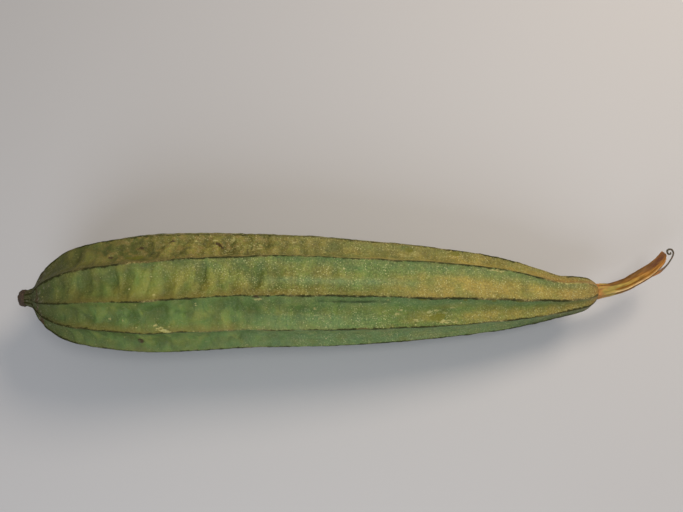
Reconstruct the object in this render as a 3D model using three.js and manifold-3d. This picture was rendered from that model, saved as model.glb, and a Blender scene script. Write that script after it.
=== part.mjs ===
// Ridge gourd, also called angled luffa or sponge gourd, as picked, lying on its side.
// Millimetres, +Z up, +X from the blossom end to the stalk, origin under the middle of the whole object.
//
// Each piece is modelled in the fruit's own frame: "along" runs down the fruit's axis from the blossom
// end, "side" is to its left and "up" is away from the table. A group then lays the fruit down.

import * as THREE from "three";
import Module from "manifold-3d";
import { mergeVertices } from "three/addons/utils/BufferGeometryUtils.js";

const wasm = await Module();
wasm.setup();

// ---------- Driving dimensions ----------

// The fruit from the blossom end to the shoulder round the stalk:
// [along, radius at the rib crests, depth of the hollow between two ribs, sideways bow of the axis].
const FRUIT_PROFILE = [
  [0, 4.5, 0.2, -4.2],
  [2.5, 5.4, 0.4, -4.1],
  [5.5, 6.9, 0.8, -4.0],
  [8.5, 11.6, 1.4, -3.8],
  [12, 16.4, 1.9, -3.5],
  [18, 21.7, 2.6, -3.1],
  [28, 27.9, 3.3, -2.4],
  [43, 31.9, 3.9, -1.7],
  [70, 35.2, 4.2, -0.9],
  [100, 35.0, 4.2, 0.5],
  [130, 33.8, 4.1, 1.6],
  [160, 33.1, 4.0, 1.7],
  [190, 31.2, 3.9, 1.4],
  [217, 28.9, 3.6, 1.2],
  [245, 25.8, 3.3, 1.0],
  [272, 21.8, 2.9, 0.5],
  [295, 16.3, 2.3, -0.4],
  [308, 12.7, 1.9, -0.9],
  [318, 11.2, 1.4, 0.0],
  [325, 9.6, 0.9, 0.6],
  [329, 7.0, 0.6, 1.2],
  [331, 4.8, 0.3, 1.7],
];
const FRUIT_LENGTH = FRUIT_PROFILE.at(-1)[0];

// Where the ten ribs stand, in degrees from straight up and positive towards the near side:
// [at the blossom end, halfway along, at the stalk].
const RIB_ANGLES = [
  [-51, -54, -60],
  [-10, -22, -25],
  [23.5, 17.5, 26],
  [46, 53.8, 60],
  [74, 88, 106],
  [116, 125, 138],
  [158, 162, 171],
  [197, 198.5, 204],
  [233, 234, 236],
  [270, 269.5, 267],
];
const HOLLOW_POWER = 2.2; // 2 is a round hollow between the ribs, and more gives a flatter floor
const CREST_SHARE = 0.022; // half of a rib's blunt crest, as a share of the way to the next rib

// The stalk, which dries flat towards its torn end: [along, side, up, width, thickness].
const STALK_STATIONS = [
  [331.3, 1.8, 0, 9.0, 8.6],
  [335.2, 2.4, 0.4, 8.3, 8.0],
  [339.8, 3.2, 1.0, 7.0, 6.8],
  [348, 5.8, 2.0, 6.9, 6.2],
  [353.4, 8.6, 2.6, 7.1, 5.6],
  [358.9, 11.7, 3.2, 7.2, 4.9],
  [363.2, 14.3, 3.6, 7.0, 4.2],
  [367, 17.3, 4.0, 6.2, 3.6],
  [370, 20.1, 4.3, 5.4, 3.0],
  [372.2, 22.5, 4.5, 4.6, 2.4],
];
const STALK_RIDGES = 5;
const STALK_RIDGE_SHARE = 0.07; // height of a ridge as a share of the stalk's radius

// The fibre that has peeled off the stalk's near edge and curls up at its tip, in the same five numbers.
const FIBRE_STATIONS = [
  [366.3, 11.35, 3.3, 1.2, 0.8],
  [368.7, 12.8, 3.4, 1.8, 0.9],
  [370.6, 14.5, 3.5, 1.6, 0.9],
  [372.8, 16.5, 3.6, 1.1, 0.9],
  [374.9, 18.7, 3.7, 0.9, 0.8],
  [376.9, 21.4, 3.8, 0.8, 0.8],
  [378.3, 24.0, 3.9, 0.8, 0.8],
  [378.4, 25.8, 4.0, 0.8, 0.8],
  [377.4, 27.0, 4.2, 0.8, 0.8],
  [376.0, 27.1, 4.4, 0.8, 0.8],
  [375.1, 25.9, 4.6, 0.8, 0.8],
  [375.7, 24.5, 4.7, 0.8, 0.8],
  [376.4, 23.4, 4.8, 0.8, 0.7],
  [375.5, 22.6, 4.9, 0.6, 0.6],
];

// The dry brown stub that the flower leaves on the blossom end.
const SCAR_LENGTH = 3.6;
const SCAR_RADIUS = 4.3;

// How the fruit lies: its stalk end dips until its weight is over the two ribs under its thick part,
// and their crests are pressed a little flat.
const DIP_DEGREES = 1.9;
const FLAT_DEPTH = 0.35;

const PIECE_GAP = 0.3; // between two pieces that touch

// ---------- Fineness of the mesh ----------

const FRUIT_STEPS = 2; // between two rows of the profile
const PANEL_STEPS = 7; // across one hollow, from rib to rib
const STALK_STEPS = 4; // between two stations of the stalk or the fibre
const STALK_SIDES = 20;
const FIBRE_SIDES = 8;
const SCAR_SIDES = 20;

// ---------- Shapes ----------

// Smooth values between rows of numbers, with `steps` steps from one row to the next.
function smoothRows(rows, steps) {
  const columns = rows[0].map((_, column) => {
    const points = rows.map((row) => new THREE.Vector3(row[column], 0, 0));
    const curve = new THREE.CatmullRomCurve3(points, false, "catmullrom", 0.5);
    return curve.getPoints((rows.length - 1) * steps).map((point) => point.x);
  });
  return columns[0].map((_, i) => columns.map((column) => column[i]));
}

// A closed skin over rings of points, with a flat fan over each end.
function skinOver(rings) {
  const sides = rings[0].length;
  const middle = (ring) =>
    ring.reduce((sum, p) => sum.add(p), new THREE.Vector3()).divideScalar(sides);
  const points = [...rings.flat(), middle(rings[0]), middle(rings.at(-1))];
  const [firstEnd, lastEnd] = [points.length - 2, points.length - 1];
  const lastRing = (rings.length - 1) * sides;
  const index = [];
  for (let side = 0; side < sides; side++) {
    const next = (side + 1) % sides;
    for (let ring = 0; ring < rings.length - 1; ring++) {
      const [here, ahead] = [ring * sides, (ring + 1) * sides];
      index.push(here + side, ahead + next, ahead + side);
      index.push(here + side, here + next, ahead + next);
    }
    index.push(firstEnd, next, side);
    index.push(lastEnd, lastRing + side, lastRing + next);
  }
  const geometry = new THREE.BufferGeometry().setFromPoints(points);
  return geometry.setIndex(index);
}

// The angle of a rib at a share of the fruit's length, on a parabola through its three values.
function ribAngle([blossom, halfway, stalk], share) {
  return (
    blossom * (1 - share) * (1 - 2 * share) +
    halfway * 4 * share * (1 - share) +
    stalk * share * (2 * share - 1)
  );
}

// The fruit's cross-section: ten blunt crests with a hollow between each and the next.
function fruitRing([along, crest, hollow, bow]) {
  const angles = RIB_ANGLES.map((rib) => ribAngle(rib, along / FRUIT_LENGTH));
  angles.push(angles[0] + 360);
  const ring = [];
  for (let rib = 0; rib < RIB_ANGLES.length; rib++) {
    for (let step = 0; step <= PANEL_STEPS; step++) {
      const across = step / PANEL_STEPS;
      const share = CREST_SHARE + (1 - 2 * CREST_SHARE) * across;
      const angle = THREE.MathUtils.degToRad(
        THREE.MathUtils.lerp(angles[rib], angles[rib + 1], share),
      );
      const radius = crest - hollow * (1 - Math.abs(2 * across - 1) ** HOLLOW_POWER);
      ring.push(
        new THREE.Vector3(
          along,
          bow - radius * Math.sin(angle),
          radius * Math.cos(angle),
        ),
      );
    }
  }
  return ring;
}

function fruitGeometry() {
  return skinOver(smoothRows(FRUIT_PROFILE, FRUIT_STEPS).map(fruitRing));
}

// Flattened rounds with ridges, each square to the path that its station lies on. A first heading, if it is
// given, sets the first of them square to something else.
function ringsAlong(stations, sides, ridgeShare, firstHeading) {
  const centres = stations.map((station) => new THREE.Vector3(...station.slice(0, 3)));
  return stations.map(([, , , width, thickness], i) => {
    const behind = centres[Math.max(i - 1, 0)];
    const ahead = centres[Math.min(i + 1, centres.length - 1)];
    const heading = i === 0 && firstHeading ? firstHeading : ahead.clone().sub(behind).normalize();
    const sideways = new THREE.Vector3(0, 0, 1).cross(heading).normalize();
    const upwards = heading.clone().cross(sideways);
    return Array.from({ length: sides }, (_, side) => {
      const turn = (2 * Math.PI * side) / sides;
      const ridge = 1 + ridgeShare * Math.cos(STALK_RIDGES * turn);
      return centres[i]
        .clone()
        .addScaledVector(sideways, (width / 2) * ridge * Math.cos(turn))
        .addScaledVector(upwards, (thickness / 2) * ridge * Math.sin(turn));
    });
  });
}

// The stalk starts flat against the fruit's end.
function stalkGeometry() {
  const stations = smoothRows(STALK_STATIONS, STALK_STEPS);
  const fruitAxis = new THREE.Vector3(1, 0, 0);
  return skinOver(ringsAlong(stations, STALK_SIDES, STALK_RIDGE_SHARE, fruitAxis));
}

function fibreGeometry() {
  return skinOver(ringsAlong(smoothRows(FIBRE_STATIONS, STALK_STEPS), FIBRE_SIDES, 0));
}

function scarGeometry() {
  const outline = new THREE.SplineCurve([
    new THREE.Vector2(SCAR_RADIUS, 0),
    new THREE.Vector2(SCAR_RADIUS * 0.94, SCAR_LENGTH * 0.45),
    new THREE.Vector2(SCAR_RADIUS * 0.66, SCAR_LENGTH * 0.85),
    new THREE.Vector2(SCAR_RADIUS * 0.3, SCAR_LENGTH),
  ]).getPoints(9);
  const profile = [new THREE.Vector2(0, 0), ...outline];
  profile.push(new THREE.Vector2(0, SCAR_LENGTH));
  return new THREE.LatheGeometry(profile, SCAR_SIDES)
    .rotateZ(Math.PI / 2)
    .translate(-PIECE_GAP, FRUIT_PROFILE[0][3], 0);
}

// ---------- Laying the fruit down ----------

const dip = new THREE.Matrix4().makeRotationY(
  THREE.MathUtils.degToRad(DIP_DEGREES),
);

function solidFrom(geometry) {
  const bare = geometry.clone();
  bare.deleteAttribute("normal");
  bare.deleteAttribute("uv");
  const merged = mergeVertices(bare);
  return new wasm.Manifold(
    new wasm.Mesh({
      numProp: 3,
      vertProperties: merged.attributes.position.array,
      triVerts: new Uint32Array(merged.index.array),
    }),
  );
}

function geometryFrom(solid) {
  const { vertProperties, triVerts } = solid.getMesh();
  return new THREE.BufferGeometry()
    .setAttribute("position", new THREE.BufferAttribute(vertProperties, 3))
    .setIndex(new THREE.BufferAttribute(triVerts, 1));
}

// The two ribs under the fruit lose FLAT_DEPTH to the table's plane.
function pressedFlat(geometry) {
  const dipped = geometry.clone().applyMatrix4(dip);
  dipped.computeBoundingBox();
  const table = dipped.boundingBox.min.z + FLAT_DEPTH;
  const size = 2 * FRUIT_LENGTH;
  const block = new THREE.BoxGeometry(size, size, size)
    .translate(0, 0, table - size / 2)
    .applyMatrix4(dip.clone().invert());
  return geometryFrom(solidFrom(geometry).subtract(solidFrom(block)));
}

// ---------- The object ----------

function piece(name, geometry, color, roughness) {
  geometry.computeVertexNormals();
  const material = new THREE.MeshStandardMaterial({
    color,
    roughness,
    metalness: 0,
  });
  const mesh = new THREE.Mesh(geometry, material);
  mesh.name = name;
  return mesh;
}

const laid = new THREE.Group();
laid.add(piece("gourd", pressedFlat(fruitGeometry()), 0x6f8548, 0.6));
laid.add(piece("stalk", stalkGeometry(), 0xa5793a, 0.5));
laid.add(piece("peeled_fibre", fibreGeometry(), 0x5f4a33, 0.7));
laid.add(piece("blossom_scar", scarGeometry(), 0x46331f, 0.85));
laid.applyMatrix4(dip);

const box = new THREE.Box3().setFromObject(laid, true);
const middle = box.getCenter(new THREE.Vector3());
laid.position.set(-middle.x, -middle.y, -box.min.z);

const part = new THREE.Group();
part.add(laid);

export default part;
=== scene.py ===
# A ridge gourd, also sold as angled luffa or sponge gourd, as picked: a green fruit with ten ribs, lying
# on its side on a pale table, with its half-dry stalk. Metres, +X towards the stalk, +Z up.

import math

import bpy
import numpy as np
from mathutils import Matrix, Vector, noise


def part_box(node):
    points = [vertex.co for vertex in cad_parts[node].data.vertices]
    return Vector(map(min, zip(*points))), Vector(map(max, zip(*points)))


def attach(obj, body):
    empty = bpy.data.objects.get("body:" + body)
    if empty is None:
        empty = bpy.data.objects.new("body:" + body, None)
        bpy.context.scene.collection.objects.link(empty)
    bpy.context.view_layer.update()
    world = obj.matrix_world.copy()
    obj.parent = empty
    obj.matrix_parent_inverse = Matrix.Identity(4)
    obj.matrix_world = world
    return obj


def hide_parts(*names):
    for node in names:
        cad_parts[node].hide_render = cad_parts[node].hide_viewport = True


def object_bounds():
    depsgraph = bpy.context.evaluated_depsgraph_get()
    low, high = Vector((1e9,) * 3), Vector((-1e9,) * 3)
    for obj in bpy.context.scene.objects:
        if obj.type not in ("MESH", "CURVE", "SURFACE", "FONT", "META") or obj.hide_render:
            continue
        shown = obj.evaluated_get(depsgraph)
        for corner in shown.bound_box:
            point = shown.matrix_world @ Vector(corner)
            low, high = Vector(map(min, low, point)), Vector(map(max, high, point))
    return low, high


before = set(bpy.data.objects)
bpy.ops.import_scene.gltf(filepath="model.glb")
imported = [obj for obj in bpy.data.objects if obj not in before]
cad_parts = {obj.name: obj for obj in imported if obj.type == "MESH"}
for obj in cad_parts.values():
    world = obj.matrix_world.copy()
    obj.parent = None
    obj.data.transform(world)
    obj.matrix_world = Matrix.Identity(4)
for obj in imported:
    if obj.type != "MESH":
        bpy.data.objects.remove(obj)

cad_low, cad_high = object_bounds()
MM = 0.001


# ---------- The fruit ----------
# One whole fruit, closed all round: a tough green rind drawn into ten lengthwise ribs with hollows between
# them. The crest of each rib is a thin dark keel, which handling rubs down to cream cork here and there.

# [along, radius at the rib crests, depth of the hollow between two ribs, sideways bow of the axis], in mm
FRUIT_PROFILE = [
    [0, 4.5, 0.2, -4.2],
    [2.5, 5.4, 0.4, -4.1],
    [5.5, 6.9, 0.8, -4.0],
    [8.5, 11.6, 1.4, -3.8],
    [12, 16.4, 1.9, -3.5],
    [18, 21.7, 2.6, -3.1],
    [28, 27.9, 3.3, -2.4],
    [43, 31.9, 3.9, -1.7],
    [70, 35.2, 4.2, -0.9],
    [100, 35.0, 4.2, 0.5],
    [130, 33.8, 4.1, 1.6],
    [160, 33.1, 4.0, 1.7],
    [190, 31.2, 3.9, 1.4],
    [217, 28.9, 3.6, 1.2],
    [245, 25.8, 3.3, 1.0],
    [272, 21.8, 2.9, 0.5],
    [295, 16.3, 2.3, -0.4],
    [308, 12.7, 1.9, -0.9],
    [318, 11.2, 1.4, 0.0],
    [325, 9.6, 0.9, 0.6],
    [329, 7.0, 0.6, 1.2],
    [331, 4.8, 0.3, 1.7],
]
FRUIT_LENGTH = FRUIT_PROFILE[-1][0]

# Degrees of each rib from straight up, positive towards the near side: [blossom end, halfway, stalk].
RIB_ANGLES = [
    [-51, -54, -60],
    [-10, -22, -25],
    [23.5, 17.5, 26],
    [46, 53.8, 60],
    [74, 88, 106],
    [116, 125, 138],
    [158, 162, 171],
    [197, 198.5, 204],
    [233, 234, 236],
    [270, 269.5, 267],
]
HOLLOW_POWER = 2.2  # 2 is a round hollow between the ribs, and more gives a flatter floor
CREST_SHARE = 0.022  # half of a rib's blunt crest, as a share of the way to the next rib
DIP = math.radians(1.9)  # the stalk end dips as the fruit lies
TABLE_GAP = 0.03  # mm above the table that no point goes below

KEEL_HALF = 0.5  # mm from the middle of a keel to its foot
KEEL_HEIGHT = 0.5  # mm, before its unevenness
CREASE_MM = 11.6  # where the nub meets the swell of the fruit
FOLD_PLACE = 2.17  # in panels from the first rib, so just below the third rib
FOLD_MM = 186

RINGS = 430
HOLLOW_POINTS = 20


def smooth_rows(rows, places):
    """Values between rows of numbers, at fractional row numbers, on a curve through every row."""
    rows = np.array(rows, float)
    padded = np.vstack([2 * rows[0] - rows[1], rows, 2 * rows[-1] - rows[-2]])
    first = np.clip(places.astype(int), 0, len(rows) - 2)
    t = (places - first)[:, None]
    before, start, end, after = (padded[first + k] for k in range(4))
    leave = (end - before) / 2
    arrive = (after - start) / 2
    bend = 2 * start - 2 * end + leave + arrive
    return ((bend * t + 3 * end - 3 * start - 2 * leave - arrive) * t + leave) * t + start


def evenly_spaced(rows, count, columns):
    """Rows at even steps along the path that the given columns make."""
    fine = np.linspace(0, len(rows) - 1, 200 * len(rows))
    path = smooth_rows(rows, fine)[:, columns]
    run = np.concatenate([[0], np.cumsum(np.linalg.norm(np.diff(path, axis=0), axis=1))])
    return smooth_rows(rows, np.interp(np.linspace(0, run[-1], count), run, fine))


def rough(points, size):
    """Smooth noise at each point, about -0.7 to 0.7, with bumps of that size in the points' own unit."""
    flat = np.asarray(points, float).reshape(-1, 3) / size
    return np.array([noise.noise(Vector(p)) for p in flat]).reshape(np.shape(points)[:-1])


def stack(*columns):
    """Points from three arrays or numbers of matching shape."""
    return np.stack(np.broadcast_arrays(*columns), axis=-1).astype(float)


def smooth_step(values, low, high):
    t = np.clip((values - low) / (high - low), 0, 1)
    return t * t * (3 - 2 * t)


along, crest, hollow, bow = evenly_spaced(FRUIT_PROFILE, RINGS, [0, 1]).T
share = along / FRUIT_LENGTH
ribs = len(RIB_ANGLES)

# Each rib wanders a little from its even line, less towards the ends where the ribs meet.
angles = []
for rib, (blossom, halfway, stalk_end) in enumerate(RIB_ANGLES):
    even = (
        blossom * (1 - share) * (1 - 2 * share)
        + halfway * 4 * share * (1 - share)
        + stalk_end * share * (2 * share - 1)
    )
    wander = 0.75 * rough(stack(along, 40 * rib, 0), 17) + 0.35 * rough(stack(along, 40 * rib, 9), 5)
    angles.append(even + np.degrees(wander / (crest + 6)) * smooth_step(crest, 6, 20))
angles.append(angles[0] + 360)
angles = np.radians(np.array(angles))
panel_width = (angles[1:] - angles[:-1]) * crest  # mm across each hollow, by panel and ring

# Points across one panel: the keel's top and shoulder, the hollow from foot to foot, the next shoulder.
hollow_steps = np.linspace(0, 1, HOLLOW_POINTS)
hollow_steps = 0.55 * hollow_steps + 0.45 * (1 - np.cos(math.pi * hollow_steps)) / 2
per_panel = HOLLOW_POINTS + 3
around = ribs * per_panel
place = np.zeros((RINGS, around))  # in panels from the first rib
gap = np.zeros((RINGS, around))  # mm to the nearest crest
for rib in range(ribs):
    keel = np.minimum(KEEL_HALF / panel_width[rib], 0.1)[:, None]
    steps = np.hstack([0 * keel, keel / 2, keel + (1 - 2 * keel) * hollow_steps[None, :], 1 - keel / 2])
    columns = slice(rib * per_panel, (rib + 1) * per_panel)
    place[:, columns] = rib + steps
    gap[:, columns] = np.minimum(steps, 1 - steps) * panel_width[rib][:, None]

# Panels count from the first rib: 0 faces up and away, 1 up, 2 up and near, and 3 the near side.
panel = np.minimum(place.astype(int), ribs - 1)
in_panel = place - panel
rows = np.arange(RINGS)[:, None]
turn = angles[panel, rows] * (1 - in_panel) + angles[panel + 1, rows] * in_panel
across = np.clip((in_panel - CREST_SHARE) / (1 - 2 * CREST_SHARE), 0, 1)
hollowness = 1 - np.abs(2 * across - 1) ** HOLLOW_POWER
along_grid = np.broadcast_to(along[:, None], place.shape)
radius = crest[:, None] - hollow[:, None] * hollowness


def fruit_points(radii):
    return stack(along_grid, bow[:, None] - radii * np.sin(turn), radii * np.cos(turn))


def laid_down(points):
    """Turns points of the upright fruit, in mm, by the dip that it lies at."""
    x, y, z = np.moveaxis(np.asarray(points, float), -1, 0)
    return stack(x * math.cos(DIP) + z * math.sin(DIP), y, z * math.cos(DIP) - x * math.sin(DIP))


# The lie of the fruit comes from the frame: the same lowest x, middle y and highest z as its CAD node.
gourd_low, gourd_high = (np.array(corner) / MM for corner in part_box("gourd"))
bare = laid_down(fruit_points(radius)).reshape(-1, 3)
shift = np.array(
    [
        gourd_low[0] - bare[:, 0].min(),
        (gourd_low[1] + gourd_high[1] - bare[:, 1].min() - bare[:, 1].max()) / 2,
        gourd_high[2] - bare[:, 2].max(),
    ]
)


def in_frame(points):
    """Points of the upright fruit, in mm, to metres in the shared frame, none of them below the table."""
    placed = laid_down(points) + shift
    placed[..., 2] = np.maximum(placed[..., 2], TABLE_GAP)
    return placed * MM


# Growth: the skin swells and puckers across the hollows, most at the older blossom end. A number added to
# the points of some noise only picks another part of it.
spots = fruit_points(radius)
young = 1 - smooth_step(along_grid, 120, 215)
ends = smooth_step(along_grid, 8, 30) * (1 - smooth_step(along_grid, 285, 315))
pucker_at = stack(along_grid + 3 * rough(spots, 14), 7 * in_panel, 31 * panel)
relief = 0.65 + 0.35 * smooth_step(np.cos(turn + math.radians(40)), -0.1, 0.7)
relief += 0.6 * smooth_step(np.cos(turn + math.radians(60)), 0.2, 1) * smooth_step(along_grid, 30, 75)
relief -= 0.2 * smooth_step(-np.cos(turn + math.radians(40)), 0.35, 0.75)
pucker = (rough(pucker_at, 7.5) + 0.5 * rough(pucker_at + 70, 4)) * hollowness**0.7 * relief
wrinkle = np.exp(-((rough(pucker_at + 140, 6.5) / 0.08) ** 2)) * hollowness**0.5 * (0.15 + 0.85 * young)
lump = rough(spots, 5.2)
grain = rough(spots + 90, 2.6)
swell = rough(spots + 50, 42)
fold_at = FOLD_PLACE + 0.012 * np.sin(along_grid / 9)
fold = np.exp(-(((place - fold_at) / 0.04) ** 2)) * np.exp(-(((along_grid - FOLD_MM) / 20) ** 4))
crease_at = CREASE_MM + 2.2 * rough(spots, 4)
crease = np.exp(-(((along_grid - crease_at) / 1.1) ** 2))
radius = radius + (
    1.8 * pucker * (0.25 + 0.75 * young) * ends
    + (0.26 + 0.5 * young) * lump * relief * np.minimum(gap / 2.5, 1) * ends
    + 0.16 * grain * np.minimum(gap / 1.5, 1) * ends
    - 0.35 * wrinkle * ends
    + 0.35 * swell * ends
    - 0.5 * fold
    - 0.5 * crease
)

# The keel: a narrow dark bead along each crest, nicked and rubbed away in places.
keel_rise = np.clip(1 - (gap / KEEL_HALF) ** 2, 0, 1)
nearest_rib = np.round(place) % ribs
keel_beat = rough(stack(along_grid, 50 * nearest_rib, 0), 3.2)
keel_wear = rough(stack(along_grid, 50 * nearest_rib, 20), 12)
keel_wear += 0.5 * (1 - smooth_step(along_grid, 15, 45))
keel_wear -= 0.4 * (nearest_rib == 3) * np.exp(-(((along_grid - 125) / 32) ** 4))
keel_wear -= 0.5 * (nearest_rib == 1) * smooth_step(along_grid, 276, 292)
keel_wear -= 0.25 * (nearest_rib == 0) * smooth_step(along_grid, 100, 200)
keel_left = smooth_step(keel_wear, -0.42, -0.22)
radius += keel_rise * KEEL_HEIGHT * (0.6 + 0.6 * keel_beat) * keel_left * smooth_step(crest, 4, 16)[:, None]

# How much wider the dark line of each keel is than its bead, in mm, and the painted shade below it, dark
# green, which also fills the fold.
keel_more = (
    0.4 * rough(stack(along_grid, 50 * nearest_rib, 60), 22)
    + 0.1 * (1 - smooth_step(along_grid, 20, 60)) * smooth_step(along_grid, 5, 12)
    - 0.12 * smooth_step(along_grid, 20, 60) * (1 - smooth_step(along_grid, 170, 220))
    + 0.12 * smooth_step(along_grid, 200, 245) * (nearest_rib == 2)
    - 0.25 * (1 - smooth_step(along_grid, 35, 60)) * (nearest_rib == 2)
)
painted_shade_below_keel = np.where(in_panel < 0.5, np.exp(-gap / 1.7), 0)
painted_shade_below_keel *= 0.12 + 0.35 * smooth_step(rough(stack(along_grid, 50 * panel, 77), 22), -0.1, 0.3)
painted_shade_below_keel += 0.2 * np.where(panel == 2, np.exp(-gap / 2.6), 0) * smooth_step(along_grid, 200, 245)
painted_shade_below_keel += 0.85 * np.where(panel == 3, np.exp(-gap / 5), 0) * smooth_step(along_grid, 268, 295)
painted_shade_below_keel += 1.05 * fold

# Rubs, pits and sunken patches: [along mm, place in panels, half length mm, half width mm, depth mm]. A
# negative depth stands proud.
CORKY_RUBS = [
    [79.5, 2.83, 1.6, 0.65, 0.3],
    [82.0, 2.90, 1.9, 0.75, 0.4],
    [85.0, 2.96, 2.6, 0.7, 0.4],
    [135.5, 2.11, 2.0, 0.7, -0.3],
    [237.5, 2.89, 4.6, 0.75, 0.1],
    [244.5, 2.91, 1.5, 0.7, 0.1],
    [229.5, 2.55, 1.6, 0.7, 0.1],
    [233.5, 2.50, 2.0, 0.7, 0.1],
    [242.5, 2.38, 2.4, 0.6, 0.1],
    [221.5, 2.82, 2.0, 0.7, 0.1],
    [212.0, 2.47, 1.6, 0.6, 0.1],
    [211.4, 2.60, 1.3, 0.6, 0.1],
    [165.5, 2.42, 0.9, 0.9, -0.1],
    [174.5, 2.68, 1.1, 0.7, 0.1],
    [217.0, 0.44, 3.6, 1.2, 0.1],
    [223.0, 0.34, 2.2, 1.1, 0.1],
    [133.5, 0.46, 2.6, 0.7, 0.1],
    [161.0, 0.43, 1.6, 0.7, 0.1],
    [171.0, 0.44, 1.2, 0.7, 0.1],
    [268.0, 1.05, 3.8, 0.5, 0.1],
    [55.5, 2.65, 1.0, 0.7, -0.2],
    [62.5, 2.68, 0.8, 0.7, -0.2],
    [80.0, 1.88, 1.0, 0.8, -0.2],
    [101.5, 2.20, 0.7, 0.6, -0.2],
    [109.5, 0.20, 1.8, 1.0, 0.2],
    [119.5, 0.12, 1.8, 1.1, 0.2],
    [120.5, 0.36, 3.2, 0.6, 0.2],
    [133.0, 0.54, 3.4, 0.6, 0.2],
    [99.0, 0.19, 1.0, 0.7, -0.2],
    [81.5, 0.23, 0.9, 0.6, -0.2],
    [104.5, 0.43, 0.8, 0.7, -0.2],
    [314.0, 1.00, 8.5, 0.8, 0.0],
]
BROWN_PITS = [
    [70.0, 3.65, 2.3, 2.2, 0.5],
    [69.5, 0.28, 2.2, 1.3, 0.3],
    [134.0, 2.03, 2.4, 0.7, 0.4],
    [85.0, 0.20, 3.0, 0.8, 0.3],
    [112.0, 0.33, 3.0, 1.4, 0.2],
    [53.6, 0.60, 1.6, 0.8, 0.2],
]
OLIVE_PATCHES = [
    [67.5, 0.66, 5.0, 2.4, 0.3],
    [235.5, 2.74, 5.5, 2.4, 0.3],
    [225.3, 2.03, 2.2, 0.8, 0.1],
    [249.0, 2.06, 1.8, 0.8, 0.1],
    [265.7, 2.07, 1.8, 0.8, 0.1],
    [281.0, 2.05, 2.4, 0.8, 0.1],
    [219.0, 0.17, 2.6, 1.3, 0.2],
    [245.0, 0.12, 3.2, 1.3, 0.2],
]


def marked(marks):
    """How far each point is inside the nearest mark, 1 in the middle and 0 at its edge, and the dents."""
    inside = np.zeros(place.shape)
    dents = np.zeros(place.shape)
    for centre, panels, half_length, half_width, depth in marks:
        mm_per_panel = np.interp(centre, along, panel_width[int(panels)])
        away = np.hypot((along_grid - centre) / half_length, (place - panels) * mm_per_panel / half_width)
        here = np.clip(1 - away / 1.6, 0, 1)
        inside = np.maximum(inside, here)
        dents += depth * smooth_step(here, 0, 0.7)
    return inside, dents


rub, rub_dents = marked(CORKY_RUBS)
pit, pit_dents = marked(BROWN_PITS)
patch, patch_dents = marked(OLIVE_PATCHES)
radius -= rub_dents + pit_dents + patch_dents


def skin_over(rings, ends_at):
    """Points and faces of a closed skin over rings of points, with a fan over each end."""
    count, sides, _ = rings.shape
    points = np.vstack([rings.reshape(-1, 3), ends_at])
    ring = np.arange(count - 1)[:, None] * sides
    side = np.arange(sides)[None, :]
    following = (side + 1) % sides
    quads = np.stack(
        [ring + side, ring + following, ring + sides + following, ring + sides + side], axis=-1
    )
    last = (count - 1) * sides
    faces = quads.reshape(-1, 4).tolist()
    for here in range(sides):
        ahead = (here + 1) % sides
        faces.append([count * sides, ahead, here])
        faces.append([count * sides + 1, last + here, last + ahead])
    return points, faces


def make_piece(name, rings, values):
    """A smooth mesh over rings in mm, with a named number at each of its points for the material."""
    middles = [rings[0].mean(axis=0), rings[-1].mean(axis=0)]
    points, faces = skin_over(rings, middles)
    mesh = bpy.data.meshes.new(name)
    mesh.from_pydata(in_frame(points).tolist(), [], faces)
    mesh.shade_smooth()
    for value_name, grid in values.items():
        grid = np.broadcast_to(grid, rings.shape[:2])
        numbers = np.concatenate([grid.ravel(), [grid[0].mean(), grid[-1].mean()]])
        attribute = mesh.attributes.new(value_name, "FLOAT", "POINT")
        attribute.data.foreach_set("value", numbers.astype(np.float32))
    made = bpy.data.objects.new(name, mesh)
    bpy.context.scene.collection.objects.link(made)
    return made


# The sun browned the panels of the upper far side, and olive there is also painted warm light from above;
# the lower half of each panel, rising to the next rib, is painted warm light too. The rind yellows towards
# the stalk, more on the upper side, where that is partly painted warm light.
panel_turn = (angles[panel, rows] + angles[panel + 1, rows]) / 2
sun_panel = smooth_step(np.cos(panel_turn + math.radians(60)), 0.2, 1)
sun_side = np.cos(turn + math.radians(50))
warm_lit_lower_half = smooth_step(in_panel, 0.2, 0.9)
olive = 0.05 + 0.6 * sun_panel**2 + 0.35 * warm_lit_lower_half * (0.35 + 2.6 * sun_panel * (1 - sun_panel))
olive += 0.38 * young * smooth_step(np.cos(turn + math.radians(40)), 0.3, 0.9)
warm_side = 0.25 + 0.75 * smooth_step(sun_side, -0.4, 0.75)
flush = smooth_step(along_grid, 150, 285) * warm_side * (0.25 + 0.67 * smooth_step(across, 0.05, 0.5))
sun_flush = smooth_step(along_grid, 105, 235) * (0.62 + 0.33 * smooth_step(in_panel, 0.1, 0.6))
flush = np.where(panel == 0, sun_flush, flush)
flush += 0.45 * smooth_step(along_grid, 225, 270) * (panel == 2) * smooth_step(in_panel, 0.25, 0.7)
mid_panel = np.exp(-(((in_panel - 0.46) / 0.2) ** 2))
flush -= 0.24 * mid_panel * (panel == 2) * smooth_step(along_grid, 125, 165)

# Mottling where the sun reached most, and grain that strengthens towards the stalk.
mottled = smooth_step(sun_panel, 0.5, 0.9) * smooth_step(along_grid, 25, 60)
mottled *= 1 - 0.85 * smooth_step(along_grid, 130, 190)
grainy = 0.2 + 0.8 * smooth_step(along_grid + 70 * smooth_step(sun_side, -0.2, 0.95), 105, 190)
grainy *= 1 - 0.35 * (panel == 2) * (1 - smooth_step(in_panel, 0.35, 0.8))
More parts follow.
